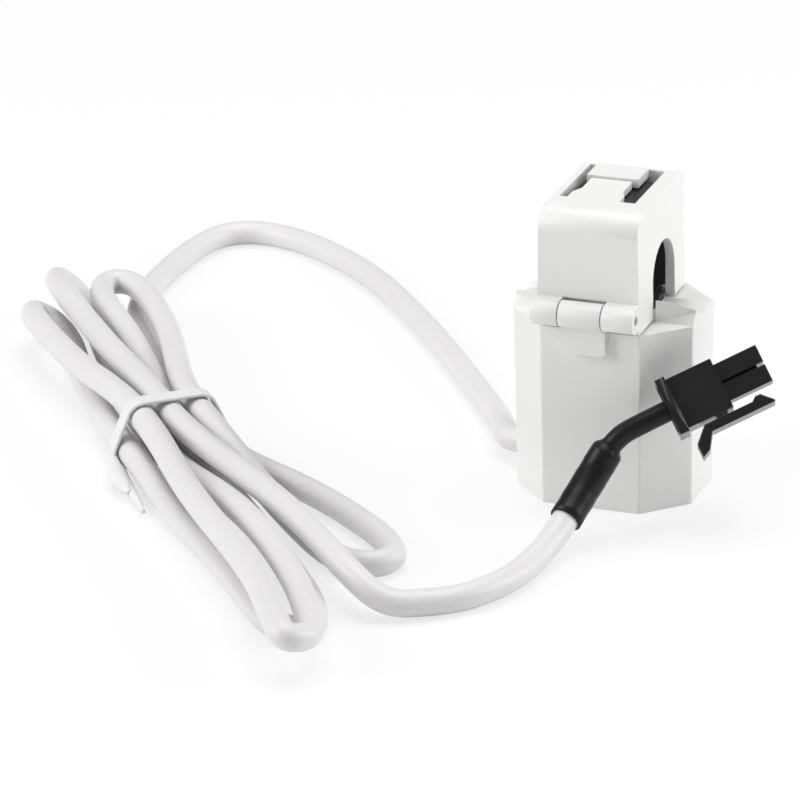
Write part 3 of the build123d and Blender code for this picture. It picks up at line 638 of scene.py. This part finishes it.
def swept_rings(places: list[Vector], radii: list[float], sides: int) -> bmesh.types.BMesh:
    """Sweep a closed tube along a line of places, with its own radius at each.

    Args:
        places: The middle of each ring, in metres.
        radii: The radius of each ring, in metres.
        sides: How many sides a ring has.

    Returns:
        The tube as a bmesh with capped ends.
    """
    shape = bmesh.new()
    before, after = [places[0]] + places[:-1], places[1:] + [places[-1]]
    directions = [(b - a).normalized() for a, b in zip(before, after)]
    start = Matrix.Translation(places[0]) @ directions[0].to_track_quat("Z", "Y").to_matrix().to_4x4()
    first = bmesh.ops.create_circle(shape, cap_ends=True, segments=sides, radius=radii[0], matrix=start)
    edges = list({e for v in first["verts"] for e in v.link_edges})
    for index in range(1, len(places)):
        grown = bmesh.ops.extrude_edge_only(shape, edges=edges)["geom"]
        ring = [g for g in grown if isinstance(g, bmesh.types.BMVert)]
        edges = [g for g in grown if isinstance(g, bmesh.types.BMEdge)]
        twist = directions[index - 1].rotation_difference(directions[index]).to_matrix().to_4x4()
        scale = Matrix.Scale(radii[index] / radii[index - 1], 4)
        move = Matrix.Translation(places[index]) @ twist @ scale @ Matrix.Translation(-places[index - 1])
        bmesh.ops.transform(shape, matrix=move, verts=ring)
    bmesh.ops.contextual_create(shape, geom=edges)
    bmesh.ops.recalc_face_normals(shape, faces=shape.faces)
    return shape


def finished_mesh(name: str, shape: bmesh.types.BMesh) -> bpy.types.Mesh:
    """Turn a bmesh into a mesh with smooth faces and free it.

    Args:
        name: The mesh's name.
        shape: The bmesh.

    Returns:
        The mesh.
    """
    mesh = bpy.data.meshes.new(name)
    for face in shape.faces:
        face.smooth = True
    shape.to_mesh(mesh)
    shape.free()
    return mesh


@dataclass(frozen=True)
class Ripple:
    """A slight wave along the sleeve: its height in millimetres, radians per millimetre and start."""

    height: float
    rate: float
    start: float = 0.0

    def at(self, along: float) -> float:
        """The wave's height at a way along the sleeve, in millimetres."""
        return self.height * math.sin(along * self.rate + self.start)


@dataclass(frozen=True)
class TieEnd:
    """One end of the tie: its line beside the hank and its radii along it, in millimetres."""

    line: tuple[Place, ...]
    radii: tuple[float, ...]

    def radius(self, share: float) -> float:
        """The radius at a share of the end's length, eased from each given one to the next.

        Args:
            share: The share of the length, from 0 to 1.

        Returns:
            The radius in millimetres.
        """
        reach = share * (len(self.radii) - 1)
        step = min(int(reach), len(self.radii) - 2)
        return self.radii[step] + (self.radii[step + 1] - self.radii[step]) * eased(reach - step)


@dataclass
class Cordage:
    """The white cord with its hank, tie and sleeve, in millimetres."""

    workshop: Workshop
    route: CordRoute = field(default_factory=CordRoute)
    radius: float = 1.9
    bevel_steps: int = 6
    sleeve_thick: float = 2.3
    sleeve_thin: float = 1.5
    sleeve_step_start: float = 11.6
    sleeve_step_end: float = 12.9
    sleeve_run_in: float = 4.0
    sleeve_sides: int = 32
    sleeve_ripples: tuple[Ripple, ...] = (Ripple(0.02, 2.1), Ripple(0.015, 5.3, 1.0))
    plug_recess: float = 0.9
    plug_place: Place = (12.2, -13.4, 17.4)
    plug_direction: Place = (0.796, 0.469, 0.383)
    on_cord: tuple[str, ...] = ("hank_tie", "plug_housing", "plug_latch", "plug_wire_1", "plug_wire_2",
                                "plug_terminal_1", "plug_terminal_2")
    tie_edge: float = 0.2
    tie_sides: int = 16
    tie_ends: tuple[TieEnd, ...] = (
        TieEnd(((0.6, -7.5, 3.0), (2.2, -7.9, 2.3), (4.4, -8.3, 1.9), (6.8, -8.5, 1.7), (9.4, -8.4, 1.6),
                (11.2, -8.2, 1.5)),
               (0.6, 1.0, 1.2, 1.3, 1.25, 1.0, 0.45)),
        TieEnd(((0.6, -7.1, 2.2), (4.0, -7.4, 1.5), (9.0, -7.7, 1.2), (13.0, -7.7, 1.1), (17.0, -7.9, 0.9)),
               (0.6, 0.95, 0.9, 0.75, 0.6, 0.3)),
    )

    def cord(self) -> bpy.types.Object:
        """Make the white cord as one smooth curve.

        Returns:
            The cord's object.
        """
        curve = nurbs("signal_cord", self.route.cord_points())
        curve.bevel_depth = self.radius * MM
        curve.bevel_resolution = self.bevel_steps
        curve.use_fill_caps = True
        curve.materials.append(self.workshop.material("cord"))
        obj = bpy.data.objects.new("signal_cord", curve)
        bpy.context.scene.collection.objects.link(obj)
        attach(obj, "housing")
        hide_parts("cord_lead", "cord_hank", "cord_tail")
        LOG.info("piece signal_cord rides on housing")
        return obj

    def declare(self, sleeve: bpy.types.Object, tie: bpy.types.Object) -> None:
        """Read points along the cord's smooth curve; nothing is done with them.

        Args:
            sleeve: The sleeve over its end; not used.
            tie: The ends of its tie; not used.
        """
        places = centreline(self.route.cord_points())

    def sleeve_radius(self, along: float) -> float:
        """The sleeve's radius, which steps down from the cord to the wires and ripples where thick.

        Args:
            along: The way along the sleeve from its open end.

        Returns:
            The radius in metres.
        """
        share = (along - self.sleeve_step_start) / (self.sleeve_step_end - self.sleeve_step_start)
        blend = eased(min(max(share, 0.0), 1.0))
        smooth = self.sleeve_thick + (self.sleeve_thin - self.sleeve_thick) * blend
        return (smooth + sum(ripple.at(along) for ripple in self.sleeve_ripples) * (1 - blend)) * MM

    def sleeve(self) -> bpy.types.Object:
        """Make the heat-shrink sleeve, thick over the cord, stepping down to the thin stretch.

        Returns:
            The sleeve's object.
        """
        rear = Vector(self.plug_place)
        back = Vector(self.plug_direction).normalized()
        points = [self.route.mouth()] + [Vector(p) for p in self.route.rise]
        points += [rear - back * self.sleeve_run_in, rear + back * self.plug_recess]
        places = centreline(points)
        ways = [0.0]
        for a, b in zip(places, places[1:]):
            ways.append(ways[-1] + (b - a).length / MM)
        shape = swept_rings(places, [self.sleeve_radius(way) for way in ways], self.sleeve_sides)
        mesh = finished_mesh("shrink_sleeve", shape)
        sleeve = self.workshop.piece("shrink_sleeve", mesh, "sleeve", "housing", Slot.SLEEVE)
        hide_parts("heat_shrink_sleeve")
        return sleeve

    def tie(self) -> bpy.types.Object:
        """Dress the tie's CAD ring, which stays, and make its soft pair of ends.

        Returns:
            The object of the ends.
        """
        self.workshop.soften(self.workshop.dress_node("hank_tie", "tie"), self.tie_edge * MM)
        shape = bmesh.new()
        mesh = bpy.data.meshes.new("tie_end")
        for end in self.tie_ends:
            places = centreline([self.route.hank_point(*p) for p in end.line])
            radii = [end.radius(number / (len(places) - 1)) * MM for number in range(len(places))]
            tube = swept_rings(places, radii, self.tie_sides)
            tube.to_mesh(mesh)
            tube.free()
            shape.from_mesh(mesh)
        bpy.data.meshes.remove(mesh)
        return self.workshop.piece("tie_ends", finished_mesh("tie_ends", shape), "tie", "housing", Slot.TIE)

    def build(self) -> None:
        """Make the cord and the pieces on it."""
        cord = self.cord()
        self.declare(self.sleeve(), self.tie())


@dataclass
class ClampBody:
    """The housing, the jaw and what they hold, with the width of the soft edges in millimetres."""

    workshop: Workshop
    edge: float = 0.12
    shells: tuple[str, ...] = ("housing_shell", "jaw_shell", "base_cover", "latch_tongue", "cord_grommet")
    contents: tuple[tuple[str, str], ...] = (
        ("core_carrier", "inner"),
        ("core_retainer", "inner"),
        ("bobbin", "inner"),
        ("lower_core", "ferrite"),
        ("upper_core", "ferrite"),
        ("secondary_winding", "copper"),
        ("circuit_board", "board"),
        ("clamp_diode_1", "diode"),
        ("clamp_diode_2", "diode"),
        ("winding_lead_1", "tinned"),
        ("winding_lead_2", "tinned"),
        ("conductor_1", "insulation"),
        ("conductor_2", "insulation"),
        ("hinge_pin", "steel"),
    )

    def build(self) -> None:
        """Dress each node of the clamp and round the edges of its shells."""
        for node in self.shells:
            self.workshop.soften(self.workshop.dress_node(node, "housing"), self.edge * MM)
        for node, finish in self.contents:
            self.workshop.dress_node(node, finish)


@dataclass
class Plug:
    """The black two-way plug and its lever, with the width of the soft edges in millimetres."""

    workshop: Workshop
    edge: float = 0.14
    mouldings: tuple[str, ...] = ("plug_housing", "plug_latch")
    ways: int = 2

    def build(self) -> None:
        """Dress each node of the plug and round the edges of its mouldings."""
        for node in self.mouldings:
            self.workshop.soften(self.workshop.dress_node(node, "plug"), self.edge * MM)
        for way in range(1, self.ways + 1):
            self.workshop.dress_node(f"plug_terminal_{way}", "terminal")
            self.workshop.dress_node(f"plug_wire_{way}", "insulation")


def main() -> None:
    """Build the scene in order."""
    logging.basicConfig(level=logging.INFO)
    bpy.context.scene.view_settings.view_transform = "Standard"
    studio = Studio()
    studio.camera()
    workshop = Workshop()
    Cordage(workshop).build()
    studio.lights()
    studio.floor()
    ClampBody(workshop).build()
    Plug(workshop).build()


if __name__ == "__main__":
    main()
